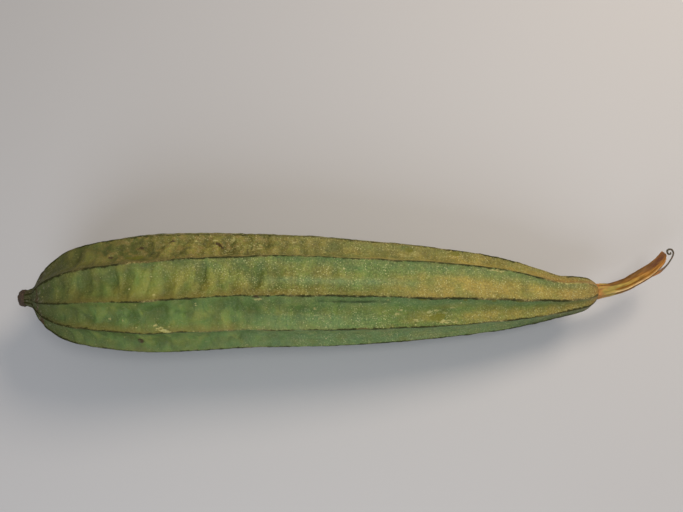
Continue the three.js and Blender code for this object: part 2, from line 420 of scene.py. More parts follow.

# Painted cool shade in bluer green under each rib and on the shaded panels; the same green also lies in a
# few paler bands and streaks.
cool_shade_and_streaks = smooth_step(0.42 - in_panel, 0, 0.3) * (0.25 + 0.3 * smooth_step(along_grid, 130, 220))
cool_shade_and_streaks *= (1 - sun_panel) * smooth_step(along_grid, 50, 120)
shade_panel = smooth_step(np.cos(panel_turn - math.radians(130)), 0.2, 0.6)
cool_shade_and_streaks = np.maximum(cool_shade_and_streaks, 0.6 * shade_panel * smooth_step(along_grid, 60, 150))
pale_foot = np.exp(-(((along_grid - 163) / 38) ** 4)) * (panel == 2) * smooth_step(in_panel, 0.5, 0.75)
cool_shade_and_streaks = np.maximum(cool_shade_and_streaks, 0.45 * pale_foot)
cool_shade_and_streaks = np.maximum(cool_shade_and_streaks, 0.22 * (panel == 0) * np.exp(-(((along_grid - 190) / 50) ** 4)))

# Past the puckered part the tones run lengthwise, in streaks.
streak = rough(stack(along_grid / 8, 12 * in_panel, 31 * panel), 3)
flush += 0.6 * streak * smooth_step(along_grid, 110, 150) * (1 - smooth_step(along_grid, 230, 280))
tan_streak = np.exp(-(((in_panel - 0.38) / 0.11) ** 2)) * np.exp(-(((along_grid - 177) / 48) ** 4))
sage_streak = np.exp(-(((in_panel - 0.6) / 0.1) ** 2)) * np.exp(-(((along_grid - 177) / 42) ** 4))
flush += 0.1 * tan_streak * (panel == 1)
flush *= 1 - 0.55 * smooth_step(along_grid, 306, 326)
cool_shade_and_streaks = np.maximum(cool_shade_and_streaks, 0.7 * sage_streak * (panel == 1))

# Darker skin towards the blossom end on the upper and shaded panels, and one greener hollow in panel 2.
darker_blossom_end = np.maximum(sun_panel, 0.6 * shade_panel) * smooth_step(along_grid, 10, 30)
darker_blossom_end *= 1 - smooth_step(along_grid, 60, 110)
green_hollow = (panel == 2) * smooth_step(in_panel, 0.35, 0.6) * np.exp(-(((along_grid - 73) / 16) ** 2))
olive -= 0.2 * green_hollow

# Where the painted warm light along the foot of a panel is narrower, and the brown skin of the neck.
warm_lit_drop = np.maximum(sun_panel * smooth_step(along_grid, 120, 200), shade_panel)
warm_lit_drop = np.maximum(warm_lit_drop, 0.7 * (panel == 2) * smooth_step(along_grid, 110, 150))
neck = np.where(panel == 0, 0.35 + 0.65 * smooth_step(in_panel, 0.1, 0.6), 0.45)
neck *= np.where(panel == 0, smooth_step(along_grid, 282, 308), smooth_step(along_grid, 290, 312))

skin_values = {
    "blossom_mm": along_grid,
    "across": in_panel - 0.2 * warm_lit_drop,
    "olive": olive,
    "flush": flush,
    "pucker": (pucker * (0.3 + 0.7 * young) + 0.5 * lump * young - 0.5 * wrinkle) * ends
    - 0.3 * darker_blossom_end
    - 0.4 * green_hollow,
    "mottled": mottled,
    "cool_shade_and_streaks": cool_shade_and_streaks,
    "neck": neck,
    "crease": crease,
    "grainy": grainy,
    "crest_gap": gap - keel_more,
    "keel_wear": keel_wear,
    "painted_shade_below_keel": painted_shade_below_keel + 0.3 * darker_blossom_end,
    "rub": rub,
    "pit": pit,
    "olive_patch": patch,
}
gourd = make_piece("ribbed_gourd", fruit_points(radius), skin_values)


def linear(code):
    """An sRGB hex colour as the linear colour that a shader takes."""
    channels = [int(code[i : i + 2], 16) / 255 for i in (1, 3, 5)]
    return [c / 12.92 if c <= 0.04045 else ((c + 0.055) / 1.055) ** 2.4 for c in channels] + [1]


def start_material(name):
    material = bpy.data.materials.new(name)
    material.use_nodes = True
    material.node_tree.nodes.clear()
    return material


def add(material, kind, inputs=(), **settings):
    """Adds a node, sets it up, and links or sets its inputs. A node given as an input is its first output."""
    made = material.node_tree.nodes.new("ShaderNode" + kind)
    for name, value in settings.items():
        setattr(made, name, value)
    for place_or_name, value in dict(inputs).items():
        if isinstance(place_or_name, int):
            socket = made.inputs[place_or_name]
        else:
            socket = next(s for s in made.inputs if s.name == place_or_name and s.enabled)
        if isinstance(value, bpy.types.Node):
            value = next(s for s in value.outputs if s.enabled)
        if isinstance(value, bpy.types.NodeSocket):
            material.node_tree.links.new(value, socket)
        else:
            socket.default_value = value
    return made


# Waxy cucurbit rind, satin: green and olive, blotched, with fine raised cork specks that catch the light.
rind = start_material("waxy green gourd rind")
where = add(rind, "TexCoord").outputs["Object"]

# The numbers that make_piece stored at each point of the skin.
at_point = {name: add(rind, "Attribute", attribute_name=name).outputs["Fac"] for name in skin_values}
blossom_mm = at_point["blossom_mm"]

# Broad tone: greener in the shade, olive where the sun reached it and where warm light is painted, tan
# towards the stalk.
LEAF_GREEN = linear("#5a7233")
OLIVE = linear("#716c2b")
TAN_FLUSH = linear("#9c883d")
broad = add(rind, "TexNoise", {"Vector": where, "Scale": 1 / (9 * MM), "Detail": 3})
broad_sway = add(
    rind, "MapRange", {"Value": broad, "From Min": 0.35, "From Max": 0.65, "To Min": -0.3, "To Max": 0.3}
)
olive_share = add(rind, "Math", {0: at_point["olive"], 1: broad_sway}, operation="ADD", use_clamp=True)
tone = add(rind, "Mix", {"Factor": olive_share, "A": LEAF_GREEN, "B": OLIVE}, data_type="RGBA")
flush_noise = add(rind, "TexNoise", {"Vector": where, "Scale": 1 / (9 * MM), "Detail": 4})
flush_sway = add(rind, "MapRange", {"Value": flush_noise, "From Min": 0.3, "From Max": 0.6, "To Min": 0.5})
flush_share = add(rind, "Math", {0: at_point["flush"], 1: flush_sway}, operation="MULTIPLY", use_clamp=True)
tone = add(rind, "Mix", {"Factor": flush_share, "A": tone, "B": TAN_FLUSH}, data_type="RGBA")

# Blotches a few millimetres wide, drawn out across the hollows where the skin puckers and lengthwise beyond.
# They also follow the puckers as painted shade and light: deeper green in their hollows, yellower on their
# swellings.
DEEP_GREEN = linear("#495a22")
YELLOW_GREEN = linear("#7e7d36")
drawn_across = add(rind, "Mapping", {"Vector": where, "Scale": (1, 0.5, 0.5)})
drawn_along = add(rind, "Mapping", {"Vector": where, "Scale": (0.3, 1, 1)})
lengthwise = add(rind, "MapRange", {"Value": blossom_mm, "From Min": 105, "From Max": 150})
drawn_out = add(
    rind, "Mix", {"Factor": lengthwise, "A": drawn_across, "B": drawn_along}, data_type="VECTOR"
)
blotch = add(
    rind, "TexNoise", {"Vector": drawn_out, "Scale": 1 / (4.5 * MM), "Detail": 5, "Roughness": 0.6}
)
blotch_and_pucker_shade = add(rind, "Math", {0: at_point["pucker"], 1: 0.3, 2: blotch}, operation="MULTIPLY_ADD")
for colour, start, full in ((DEEP_GREEN, 0.5, 0.3), (YELLOW_GREEN, 0.5, 0.7)):
    blotch_share = add(
        rind, "MapRange", {"Value": blotch_and_pucker_shade, "From Min": start, "From Max": full, "To Max": 0.36}
    )
    tone = add(rind, "Mix", {"Factor": blotch_share, "A": tone, "B": colour}, data_type="RGBA")

# Painted light and shade on the puckers: the swellings between them paler, their hollows and creases darker.
PUCKER_LIGHT_AND_SHADE = {"From Min": -0.4, "From Max": 0.4, "To Min": 0.84, "To Max": 1.28}
painted_pucker_shade = add(rind, "MapRange", {"Value": at_point["pucker"], **PUCKER_LIGHT_AND_SHADE})
tone = add(rind, "Mix", {"Factor": 1.0, "A": tone, "B": painted_pucker_shade}, data_type="RGBA", blend_type="MULTIPLY")

# Tan and dark mottling on the sunned side.
MOTTLE_TAN = linear("#8b773f")
MOTTLE_DARK = linear("#4a441c")
mottle = add(rind, "TexNoise", {"Vector": where, "Scale": 1 / (3.5 * MM), "Detail": 5, "Roughness": 0.65})
for colour, start, full in ((MOTTLE_TAN, 0.48, 0.6), (MOTTLE_DARK, 0.46, 0.34)):
    mottle_share = add(
        rind, "MapRange", {"Value": mottle, "From Min": start, "From Max": full, "To Max": 0.7}
    )
    mottle_share = add(rind, "Math", {0: mottle_share, 1: at_point["mottled"]}, operation="MULTIPLY")
    tone = add(rind, "Mix", {"Factor": mottle_share, "A": tone, "B": colour}, data_type="RGBA")

# Painted light in each hollow: bluish green as cool shade under its upper rib, and brown as warm light where
# it climbs to the next.
COOL_SHADE_GREEN = linear("#6a8557")
WARM_LIT_BROWN = linear("#74652c")
edge_noise = add(rind, "TexNoise", {"Vector": where, "Scale": 1 / (5 * MM), "Detail": 4})
under_sway = add(rind, "MapRange", {"Value": edge_noise, "From Min": 0.35, "From Max": 0.6, "To Min": 0.5})
cool_shade_share = add(rind, "Math", {0: at_point["cool_shade_and_streaks"], 1: under_sway}, operation="MULTIPLY")
tone = add(rind, "Mix", {"Factor": cool_shade_share, "A": tone, "B": COOL_SHADE_GREEN}, data_type="RGBA")
# Painted warm light: a brown band where the hollow climbs to its lower rib, narrower on some panels.
warm_lit_edge = add(rind, "Math", {0: edge_noise, 1: 0.25, 2: at_point["across"]}, operation="MULTIPLY_ADD")
warm_lit_share = add(rind, "MapRange", {"Value": warm_lit_edge, "From Min": 0.9, "From Max": 1.12, "To Max": 0.7})
tone = add(rind, "Mix", {"Factor": warm_lit_share, "A": tone, "B": WARM_LIT_BROWN}, data_type="RGBA")

# The blossom end stays dull and dark, with painted shade in reddish brown in the crease round its nub.
BLOSSOM_GREEN = linear("#393d1b")
CREASE_SHADE_BROWN = linear("#3f2412")
NUB_BROWN = linear("#3c3620")
end_share = add(rind, "MapRange", {"Value": blossom_mm, "From Min": 60, "From Max": 8, "To Max": 0.9})
tone = add(rind, "Mix", {"Factor": end_share, "A": tone, "B": BLOSSOM_GREEN}, data_type="RGBA")
nub_share = add(rind, "MapRange", {"Value": blossom_mm, "From Min": 9.5, "From Max": 1, "To Max": 0.75})
tone = add(rind, "Mix", {"Factor": nub_share, "A": tone, "B": NUB_BROWN}, data_type="RGBA")
crease_sway = add(rind, "MapRange", {"Value": edge_noise, "From Min": 0.35, "From Max": 0.5})
crease_shade_share = add(rind, "Math", {0: at_point["crease"], 1: crease_sway}, operation="MULTIPLY")
tone = add(rind, "Mix", {"Factor": crease_shade_share, "A": tone, "B": CREASE_SHADE_BROWN}, data_type="RGBA")

# Brown skin on the neck, and a ragged tan rim where it meets the stalk.
NECK_BROWN = linear("#8a5e2b")
RIM_TAN = linear("#94743c")
neck_share = add(rind, "Math", {0: at_point["neck"], 1: 0.55}, operation="MULTIPLY")
tone = add(rind, "Mix", {"Factor": neck_share, "A": tone, "B": NECK_BROWN}, data_type="RGBA")
rim_edge = add(rind, "Math", {0: edge_noise, 1: 8, 2: blossom_mm}, operation="MULTIPLY_ADD")
rim_share = add(rind, "MapRange", {"Value": rim_edge, "From Min": 325, "From Max": 333, "To Max": 0.8})
tone = add(rind, "Mix", {"Factor": rim_share, "A": tone, "B": RIM_TAN}, data_type="RGBA")

# Fine raised specks, lighter than the skin round them, some paler than others. Real ones are 0.2 to 0.4 mm
# across, and they are drawn at about 0.6 mm so that they show.
SPECK_CREAM = linear("#cbc88c")
speck_cells = add(rind, "TexVoronoi", {"Vector": where, "Scale": 1 / (0.85 * MM), "Randomness": 1})
speck_dot = add(
    rind, "MapRange", {"Value": speck_cells.outputs["Distance"], "From Min": 0.5, "From Max": 0.15}
)
speck_pick = add(rind, "SeparateColor", {"Color": speck_cells.outputs["Color"]})
speck_pale = add(rind, "Math", {0: speck_pick, 1: 1.5}, operation="POWER")
speck_patches = add(rind, "TexNoise", {"Vector": where, "Scale": 1 / (7 * MM), "Detail": 3})
speck_patch = add(
    rind, "MapRange", {"Value": speck_patches, "From Min": 0.4, "From Max": 0.6, "To Min": 0.4}
)
speck_strength = add(rind, "Math", {0: speck_patch, 1: at_point["grainy"]}, operation="MULTIPLY")
speck_here = add(rind, "Math", {0: speck_dot, 1: speck_pale}, operation="MULTIPLY")
speck_share = add(rind, "Math", {0: speck_here, 1: speck_strength}, operation="MULTIPLY")
tone = add(rind, "Mix", {"Factor": speck_share, "A": tone, "B": SPECK_CREAM}, data_type="RGBA")

# Grain of the skin itself, about a millimetre wide: lighter and darker green.
grain_noise = add(
    rind, "TexNoise", {"Vector": where, "Scale": 1 / (1.1 * MM), "Detail": 3, "Roughness": 0.7}
)
grain_tone = add(
    rind, "MapRange", {"Value": grain_noise, "From Min": 0.3, "From Max": 0.7, "To Min": 0.64, "To Max": 1.28}
)
tone = add(
    rind,
    "Mix",
    {"Factor": at_point["grainy"], "A": tone, "B": grain_tone},
    data_type="RGBA",
    blend_type="MULTIPLY",
)

# Scattered pale flecks about a millimetre wide, where a speck has burst.
FLECK_CREAM = linear("#b5ae78")
fleck_cells = add(rind, "TexVoronoi", {"Vector": where, "Scale": 1 / (5 * MM), "Randomness": 1})
fleck_dot = add(
    rind, "MapRange", {"Value": fleck_cells.outputs["Distance"], "From Min": 0.13, "From Max": 0.06}
)
fleck_pick = add(rind, "SeparateColor", {"Color": fleck_cells.outputs["Color"]})
fleck_chosen = add(rind, "Math", {0: fleck_pick, 1: 0.93}, operation="GREATER_THAN")
fleck_share = add(rind, "Math", {0: fleck_dot, 1: fleck_chosen}, operation="MULTIPLY")
tone = add(rind, "Mix", {"Factor": fleck_share, "A": tone, "B": FLECK_CREAM}, data_type="RGBA")

# Duller, larger flecks on and round the nub.
NUB_FLECK = linear("#77735a")
nub_noise = add(rind, "TexNoise", {"Vector": where, "Scale": 1 / (2.2 * MM), "Detail": 2, "Roughness": 0.5})
nub_fleck = add(rind, "MapRange", {"Value": nub_noise, "From Min": 0.57, "From Max": 0.66, "To Max": 0.75})
nub_near = add(rind, "MapRange", {"Value": blossom_mm, "From Min": 30, "From Max": 12})
nub_fleck_share = add(rind, "Math", {0: nub_fleck, 1: nub_near}, operation="MULTIPLY")
tone = add(rind, "Mix", {"Factor": nub_fleck_share, "A": tone, "B": NUB_FLECK}, data_type="RGBA")

# Sunken olive patches, smoother than the skin round them.
PATCH_OLIVE = linear("#6d6c1a")
patch_edge = add(
    rind, "Math", {0: edge_noise, 1: 1.6, 2: at_point["olive_patch"]}, operation="MULTIPLY_ADD"
)
patch_share = add(rind, "MapRange", {"Value": patch_edge, "From Min": 1.15, "From Max": 1.35, "To Max": 0.8})
tone = add(rind, "Mix", {"Factor": patch_share, "A": tone, "B": PATCH_OLIVE}, data_type="RGBA")

# The keels: dark, thin and uneven, with painted shade in dark green below them, and cork where they are worn
# away.
KEEL_SHADE = linear("#334119")
KEEL_DARK = linear("#262700")
KEEL_WORN = linear("#63592f")
KEEL_CORK = linear("#a89a62")
keel_noise = add(
    rind, "TexNoise", {"Vector": where, "Scale": 1 / (2.4 * MM), "Detail": 5, "Roughness": 0.7}
)
shade_sway = add(rind, "MapRange", {"Value": edge_noise, "From Min": 0.3, "From Max": 0.55})
shade_share = add(
    rind, "Math", {0: at_point["painted_shade_below_keel"], 1: shade_sway}, operation="MULTIPLY", use_clamp=True
)
tone = add(rind, "Mix", {"Factor": shade_share, "A": tone, "B": KEEL_SHADE}, data_type="RGBA")
keel_edge = add(rind, "Math", {0: keel_noise, 1: -2.4, 2: at_point["crest_gap"]}, operation="MULTIPLY_ADD")
keel_share = add(
    rind, "MapRange", {"Value": keel_edge, "From Min": -0.45, "From Max": -0.9, "To Max": 0.95}
)
keel_wear_edge = add(
    rind, "Math", {0: keel_noise, 1: 0.4, 2: at_point["keel_wear"]}, operation="MULTIPLY_ADD"
)
keel_worn = add(rind, "MapRange", {"Value": keel_wear_edge, "From Min": 0.12, "From Max": -0.32})
keel_cork = add(rind, "MapRange", {"Value": grain_noise, "From Min": 0.5, "From Max": 0.62})
worn_tone = add(rind, "Mix", {"Factor": keel_cork, "A": KEEL_WORN, "B": KEEL_CORK}, data_type="RGBA")
keel_tone = add(rind, "Mix", {"Factor": keel_worn, "A": KEEL_DARK, "B": worn_tone}, data_type="RGBA")
tone = add(rind, "Mix", {"Factor": keel_share, "A": tone, "B": keel_tone}, data_type="RGBA")

# Cork over old rubs, cream with tan in it, and brown pits. Fine noise makes their edges ragged.
CORK_CREAM = linear("#a7a365")
CORK_TAN = linear("#7f7638")
PIT_BROWN = linear("#3f3014")
streaky = add(rind, "Mapping", {"Vector": where, "Scale": (0.45, 1, 1)})
ragged = add(rind, "TexNoise", {"Vector": streaky, "Scale": 1 / (1.1 * MM), "Detail": 3, "Roughness": 0.6})
cork_share = add(rind, "MapRange", {"Value": ragged, "From Min": 0.42, "From Max": 0.58})
cork = add(rind, "Mix", {"Factor": cork_share, "A": CORK_TAN, "B": CORK_CREAM}, data_type="RGBA")
for mark, colour in (("pit", PIT_BROWN), ("rub", cork)):
    mark_edge = add(rind, "Math", {0: ragged, 1: 2.2, 2: at_point[mark]}, operation="MULTIPLY_ADD")
    mark_share = add(rind, "MapRange", {"Value": mark_edge, "From Min": 1.45, "From Max": 1.65})
    tone = add(rind, "Mix", {"Factor": mark_share, "A": tone, "B": colour}, data_type="RGBA")

# The skin's feel: wrinkles a millimetre deep, finer grain, and the specks standing on them. It is
# waxy, and duller towards the blossom end.
wrinkle = add(rind, "TexNoise", {"Vector": where, "Scale": 1 / (3 * MM), "Detail": 5, "Roughness": 0.6})
wrinkle_bump = add(rind, "Bump", {"Height": wrinkle, "Strength": 1, "Distance": 1.1 * MM})
grain_bump = add(
    rind,
    "Bump",
    {
        "Height": grain_noise,
        "Strength": at_point["grainy"],
        "Distance": 0.2 * MM,
        "Normal": wrinkle_bump,
    },
)
speck_bump = add(
    rind, "Bump", {"Height": speck_dot, "Strength": 1, "Distance": 0.1 * MM, "Normal": grain_bump}
)
sheen = add(
    rind, "MapRange", {"Value": wrinkle, "From Min": 0.3, "From Max": 0.7, "To Min": 0.34, "To Max": 0.52}
)
dulling = add(rind, "MapRange", {"Value": blossom_mm, "From Min": 60, "From Max": 15, "To Max": 0.25})
dull_sheen = add(rind, "Math", {0: sheen, 1: dulling}, operation="ADD")
dull_sheen = add(rind, "Math", {0: keel_share, 1: 0.3, 2: dull_sheen}, operation="MULTIPLY_ADD")
surface = add(
    rind,
    "BsdfPrincipled",
    {
        "Base Color": tone,
        "Roughness": dull_sheen,
        "IOR": 1.4,
        "Specular IOR Level": 0.35,
        "Normal": speck_bump,
    },
)
add(rind, "OutputMaterial", {"Surface": surface})

gourd.data.materials.append(rind)
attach(gourd, "root")
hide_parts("gourd")


# ---------- The blossom scar ----------
# The dry brown stub that the flower leaves on the nub: cork with five blunt lobes where the petals stood
# and a shallow pit in the middle, grown onto the rind.

# The stub is drawn larger than the cork alone, so that it also carries the painted shadow beside the nub.
SCAR_OUTLINE = [  # [mm ahead of the fruit's end, radius]
    [-1.2, 3.9],
    [-0.5, 4.6],
    [0.5, 4.9],
    [1.6, 4.7],
    [2.6, 4.1],
    [3.3, 3.2],
    [3.7, 2.2],
    [3.6, 1.5],
    [3.2, 1.0],
    [3.1, 0.5],
]
SCAR_RINGS = 60
SCAR_SIDES = 120
PETALS = 5

ahead, scar_radius = evenly_spaced(SCAR_OUTLINE, SCAR_RINGS, [0, 1]).T
scar_turn = np.linspace(0, 2 * math.pi, SCAR_SIDES, endpoint=False)[None, :]
scar_axis = FRUIT_PROFILE[0][3]


def scar_points(reach, radii):
    return stack(-reach, scar_axis + radii * np.sin(scar_turn), radii * np.cos(scar_turn))


scar_spots = scar_points(ahead[:, None], scar_radius[:, None])
crumbs = rough(scar_spots, 1.1) + 0.5 * rough(scar_spots, 0.5)
lobes = 1 + 0.04 * np.cos(PETALS * scar_turn + 0.6) * smooth_step(ahead, 0.4, 2.4)[:, None]
blossom_scar = make_piece(
    "dry_blossom_scar",
    scar_points(
        ahead[:, None] + 0.25 * crumbs * smooth_step(ahead, 0.6, 2.2)[:, None],
        scar_radius[:, None] * lobes * (1 + 0.06 * crumbs),
    ),
    {"crumbs": crumbs},
)

# Dead cork, matt and crumbly, nearly black in its cracks, which is painted shade. Its dark brown is the
# cork's own and also painted shadow, for the shadow cast beside the nub.
scar_cork = start_material("dry brown scar cork")
SCAR_AND_SHADOW_BROWN = linear("#3a2b1c")
SCAR_CRACK_SHADE = linear("#231a10")
SCAR_GREY = linear("#55452f")
scar_where = add(scar_cork, "TexCoord").outputs["Object"]
scar_noise = add(
    scar_cork, "TexNoise", {"Vector": scar_where, "Scale": 1 / (1.2 * MM), "Detail": 5, "Roughness": 0.65}
)
crack_shade_share = add(scar_cork, "MapRange", {"Value": scar_noise, "From Min": 0.5, "From Max": 0.35})
scar_tone = add(
    scar_cork, "Mix", {"Factor": crack_shade_share, "A": SCAR_AND_SHADOW_BROWN, "B": SCAR_CRACK_SHADE}, data_type="RGBA"
)
crumb_value = add(scar_cork, "Attribute", attribute_name="crumbs").outputs["Fac"]
crumb_share = add(
    scar_cork, "MapRange", {"Value": crumb_value, "From Min": 0.15, "From Max": 0.6, "To Max": 0.7}
)
scar_tone = add(scar_cork, "Mix", {"Factor": crumb_share, "A": scar_tone, "B": SCAR_GREY}, data_type="RGBA")
scar_bump = add(scar_cork, "Bump", {"Height": scar_noise, "Strength": 1, "Distance": 0.4 * MM})
scar_surface = add(
    scar_cork,
    "BsdfPrincipled",
    {"Base Color": scar_tone, "Roughness": 0.9, "Normal": scar_bump},
)
add(scar_cork, "OutputMaterial", {"Surface": scar_surface})

blossom_scar.data.materials.append(scar_cork)
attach(blossom_scar, "root")
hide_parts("blossom_scar")


# ---------- The stalk ----------
# The five-ridged stalk that the fruit hung by, half dry and waxy: still yellow-green on its near ridges,
# and brown on its far side. It bends to the far side, flattens as it dries, and ends where it was torn off
# the vine.

STALK_PATH = [  # [along, side, up, width, thickness] in mm
    [329.6, 1.6, -0.1, 9.3, 8.9],
    [331.3, 1.8, 0.0, 9.0, 8.6],
    [335.2, 2.4, 0.4, 8.3, 8.0],
    [339.8, 3.0, 1.0, 7.4, 6.8],
    [348.0, 5.5, 2.0, 7.5, 6.2],
    [353.4, 8.3, 2.6, 7.6, 5.6],
    [358.9, 11.4, 3.2, 7.7, 4.9],
    [363.2, 14.0, 3.6, 7.4, 4.2],
    [367.0, 17.1, 4.0, 6.6, 3.6],
    [370.0, 20.0, 4.3, 6.1, 3.0],
    [372.2, 22.5, 4.5, 5.4, 2.4],
]
STALK_RINGS = 190
STALK_SIDES = 150
STALK_RIDGES = [  # degrees round from the far side and half width, at the joint and then at the torn end
    [-45, 26, -45, 26],
    [15, 24, 20, 24],
    [75, 18, 96, 12],
    [130, 11, 132, 11],
    [215, 22, 215, 22],
]


def along_path(path, count):
    """Even stations along a path of [along, side, up, width, thickness] rows, and their directions."""
    stations = evenly_spaced(path, count, [0, 1, 2])
    centres = stations[:, :3]
    heading = np.gradient(centres, axis=0)
    heading /= np.linalg.norm(heading, axis=1)[:, None]
    sideways = np.cross([0, 0, 1], heading)
    sideways /= np.linalg.norm(sideways, axis=1)[:, None]
    upwards = np.cross(heading, sideways)
    run = np.concatenate([[0], np.cumsum(np.linalg.norm(np.diff(centres, axis=0), axis=1))])
    return centres, heading, sideways, upwards, stations[:, 3] / 2, stations[:, 4] / 2, run


def tube(path, turns, swell_by, slide_by=0):
    """Rings of flattened rounds along a path, swollen by a factor and slid along it by mm, both per point."""
    centres, heading, sideways, upwards, wide, thick, _ = path
    return (
        centres[:, None]
        + sideways[:, None] * (wide[:, None] * swell_by * np.cos(turns))[..., None]
        + upwards[:, None] * (thick[:, None] * swell_by * np.sin(turns))[..., None]
        + heading[:, None] * np.broadcast_to(slide_by, turns.shape)[..., None]
    )


stalk_path = along_path(STALK_PATH, STALK_RINGS)
stalk_run = np.broadcast_to(stalk_path[-1][:, None], (STALK_RINGS, STALK_SIDES))
stalk_length = stalk_run.max()
stalk_turn = np.linspace(0, 2 * math.pi, STALK_SIDES, endpoint=False) + 0 * stalk_run
round_it = stack(2.2 * np.cos(stalk_turn), 2.2 * np.sin(stalk_turn), stalk_run / 7)
strands = rough(round_it, 0.55)
folds = rough(stack(np.cos(stalk_turn), np.sin(stalk_turn), stalk_run * 0.9), 1)
base_folds = 1 - smooth_step(stalk_run, 3, 11)
drying = smooth_step(stalk_run, 22, 42)
ridge = np.zeros(stalk_turn.shape)
twisted = smooth_step(stalk_run, 6, 34)
for joint_turn, joint_width, end_turn, end_width in STALK_RIDGES:
    middle = joint_turn + (end_turn - joint_turn) * twisted
    half_width = joint_width + (end_width - joint_width) * twisted
    away = (np.degrees(stalk_turn) - middle + 180) % 360 - 180
    ridge = np.maximum(ridge, np.exp(-((away / half_width) ** 2)))
stalk_swell = (
    0.9
    + 0.19 * ridge
    + (0.035 + 0.05 * drying) * strands
    + 0.05 * base_folds * folds
)

# The torn end: splinters of uneven length round a hollow.
tear = rough(stack(3 * np.cos(stalk_turn), 3 * np.sin(stalk_turn), 4), 0.9)
tear = 0.5 * tear + 0.6 - 2.2 * smooth_step(-np.cos(stalk_turn), 0.2, 1)
tear += 1.3 * smooth_step(np.cos(stalk_turn - 0.4), -0.1, 0.7)
tear_slide = tear * smooth_step(stalk_run, stalk_length - 9, stalk_length)
stalk_rings = tube(stalk_path, stalk_turn, stalk_swell, tear_slide * (stalk_run > 4))
end_ring = stalk_rings[-1]
end_middle = end_ring.mean(axis=0)
end_heading = stalk_path[1][-1]
inner_rings = [
    end_middle + (end_ring - end_middle) * size - end_heading * depth
    for size, depth in ((0.86, 0.1), (0.72, 0.7), (0.55, 1.5), (0.25, 1.9))
]
stalk_rings = np.concatenate([stalk_rings, inner_rings])
inside_rows = ((0, len(inner_rings)), (0, 0))
# The near ridge, which carries a painted highlight.
highlight_ridge = ridge * (np.abs(np.degrees(stalk_turn) - 130) < 25)
far_end = smooth_step(stalk_run, 30, 42) * smooth_step(np.cos(stalk_turn - 1.15), 0.78, 0.97)
brown_side = smooth_step(np.cos(stalk_turn - 0.1), 0.45, 0.75) * smooth_step(stalk_run, 4, 12)
near_joint = (1 - smooth_step(stalk_run, 6, 15)) * smooth_step(-np.cos(stalk_turn), -0.3, 0.2)
stalk_values = {
    "ridge": np.pad(ridge * (1 - brown_side), inside_rows),
    "brown_side": np.pad(brown_side, inside_rows, mode="edge"),
    "stalk_mm": np.pad(stalk_run, inside_rows, mode="edge"),
    "strands": np.pad(strands, inside_rows, mode="edge"),
    "highlight_ridge": np.pad(highlight_ridge, inside_rows),
    "far_end": np.pad(far_end, inside_rows, mode="edge"),
    "near_joint": np.pad(near_joint, inside_rows),
}
stalk = make_piece("ridged_stalk", stalk_rings, stalk_values)

# Half-dried plant stalk: tough waxy skin, yellow-green to golden on the ridges and brown between them.
stalk_skin = start_material("half-dried waxy stalk skin")
RIDGE_GREEN = linear("#a38d42")
RIDGE_GOLD = linear("#a5732b")
GROOVE_BROWN = linear("#81530f")
GROOVE_DARK = linear("#754f1c")
END_BROWN = linear("#532803")
END_TAN = linear("#935f28")
JOINT_ORANGE = linear("#b3763f")
PAINTED_HIGHLIGHT_CREAM = linear("#e0ba84")
stalk_where = add(stalk_skin, "TexCoord").outputs["Object"]
on_stalk = {
    name: add(stalk_skin, "Attribute", attribute_name=name).outputs["Fac"] for name in stalk_values
}
stalk_mm = on_stalk["stalk_mm"]
stalk_noise = add(
    stalk_skin, "TexNoise", {"Vector": stalk_where, "Scale": 1 / (2.5 * MM), "Detail": 5, "Roughness": 0.6}
)
dried = add(stalk_skin, "Math", {0: stalk_noise, 1: 16, 2: stalk_mm}, operation="MULTIPLY_ADD")
dried_share = add(stalk_skin, "MapRange", {"Value": dried, "From Min": 22, "From Max": 40})
ridge_tone = add(
    stalk_skin, "Mix", {"Factor": dried_share, "A": RIDGE_GREEN, "B": RIDGE_GOLD}, data_type="RGBA"
)
groove_tone = add(
    stalk_skin,
    "Mix",
    {"Factor": on_stalk["brown_side"], "A": GROOVE_BROWN, "B": GROOVE_DARK},
    data_type="RGBA",
)
ridge_edge = add(
    stalk_skin,
    "Math",
    {0: stalk_noise, 1: 0.5, 2: on_stalk["ridge"]},
    operation="MULTIPLY_ADD",
)
ridge_edge = add(stalk_skin, "Math", {0: ridge_edge, 1: on_stalk["near_joint"]}, operation="ADD")
ridge_share = add(stalk_skin, "MapRange", {"Value": ridge_edge, "From Min": 0.4, "From Max": 0.75})
stalk_tone = add(
    stalk_skin, "Mix", {"Factor": ridge_share, "A": groove_tone, "B": ridge_tone}, data_type="RGBA"
)
# A painted highlight: a cream line along the near ridge, where its gloss catches the light.
highlight_share = add(
    stalk_skin,
    "MapRange",
    {"Value": on_stalk["highlight_ridge"], "From Min": 0.55, "From Max": 0.9, "To Max": 0.85},
)
highlight_start = add(stalk_skin, "MapRange", {"Value": stalk_mm, "From Min": 8, "From Max": 14})
highlight_share = add(stalk_skin, "Math", {0: highlight_share, 1: highlight_start}, operation="MULTIPLY")
highlight_end = add(stalk_skin, "MapRange", {"Value": stalk_mm, "From Min": 43, "From Max": 39})
highlight_share = add(stalk_skin, "Math", {0: highlight_share, 1: highlight_end}, operation="MULTIPLY")
tan_start = add(stalk_skin, "MapRange", {"Value": dried, "From Min": 48, "From Max": 56, "To Max": 0.85})
stalk_tone = add(stalk_skin, "Mix", {"Factor": tan_start, "A": stalk_tone, "B": END_TAN}, data_type="RGBA")
stalk_tone = add(
    stalk_skin, "Mix", {"Factor": highlight_share, "A": stalk_tone, "B": PAINTED_HIGHLIGHT_CREAM}, data_type="RGBA"
)
joint_edge = add(stalk_skin, "Math", {0: stalk_noise, 1: -22, 2: stalk_mm}, operation="MULTIPLY_ADD")
joint_share = add(
    stalk_skin, "MapRange", {"Value": joint_edge, "From Min": -3, "From Max": -9, "To Max": 0.85}
)
